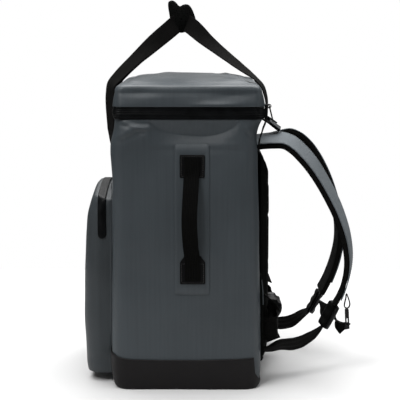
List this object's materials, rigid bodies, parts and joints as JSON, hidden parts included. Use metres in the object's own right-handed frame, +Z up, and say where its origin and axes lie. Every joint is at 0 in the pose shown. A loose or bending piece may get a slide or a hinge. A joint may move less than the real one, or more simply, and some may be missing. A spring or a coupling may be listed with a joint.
{
  "type": "insulated cooler backpack",
  "caption": "Upright soft-sided insulated backpack with a zipped padded lid, front pocket, moulded boot, carry loops, padded shoulder straps and a waist belt.",
  "frame": {"origin": "middle of the flat underside of the boot, so the pack stands on Z = 0", "axes": "+X towards the wearer's right side, +Y towards the wearer's back (shoulder straps), so the front pocket faces -Y, +Z up"},
  "size_m": [0.3756, 0.4594, 0.6366],
  "materials": {
    "coated_fabric": "matt coated cloth with a fine weave, dark grey",
    "strap_fabric": "fine woven strap cloth, mid grey",
    "boot_rubber": "moulded matt rubber, black",
    "zip_tape": "smooth coated zip tape, black",
    "webbing": "ribbed nylon webbing, black",
    "foam_mesh": "padded foam under mesh cloth, black",
    "hard_plastic": "moulded acetal plastic, black"
  },
  "bodies": {
    "pack": {"body": "coated_fabric", "base_boot": "boot_rubber", "zip_band": "zip_tape", "lid": "coated_fabric", "zip_slider": "hard_plastic", "pocket": "coated_fabric", "pocket_zip": "zip_tape", "pocket_slider": "hard_plastic", "back_pad": "foam_mesh", "side_patch_right": "coated_fabric", "side_patch_top_right": "boot_rubber", "side_patch_low_right": "boot_rubber", "side_handle_right": "webbing", "side_patch_left": "coated_fabric", "side_patch_top_left": "boot_rubber", "side_patch_low_left": "boot_rubber", "side_handle_left": "webbing", "carry_handle_front": "webbing", "carry_handle_back": "webbing", "handle_grip": "foam_mesh", "shoulder_pad_right": "foam_mesh", "shoulder_face_right": "strap_fabric", "shoulder_pad_left": "foam_mesh", "shoulder_face_left": "strap_fabric", "ladder_lock_right": "hard_plastic", "lower_strap_right": "webbing", "strap_tail_right": "webbing", "ladder_lock_left": "hard_plastic", "lower_strap_left": "webbing", "strap_tail_left": "webbing", "load_lifter_right": "webbing", "lifter_tab_right": "strap_fabric", "load_lifter_left": "webbing", "lifter_tab_left": "strap_fabric", "gear_loop": "webbing", "gear_clip": "hard_plastic", "belt_wing_right": "foam_mesh", "waist_belt_right": "webbing", "belt_stay_right": "webbing", "belt_wing_left": "foam_mesh", "waist_belt_left": "webbing", "belt_stay_left": "webbing", "belt_buckle": "hard_plastic", "belt_tail": "webbing"},
    "zip_pull": {"zip_pull": "hard_plastic"}
  },
  "joints": [
    {"name": "zip_pull_hinge", "type": "hinge", "parent": "pack", "child": "zip_pull", "pos_m": [0.14, 0.13322, 0.467], "axis": [1, 0, 0], "range_deg": [0, 110]}
  ]
}
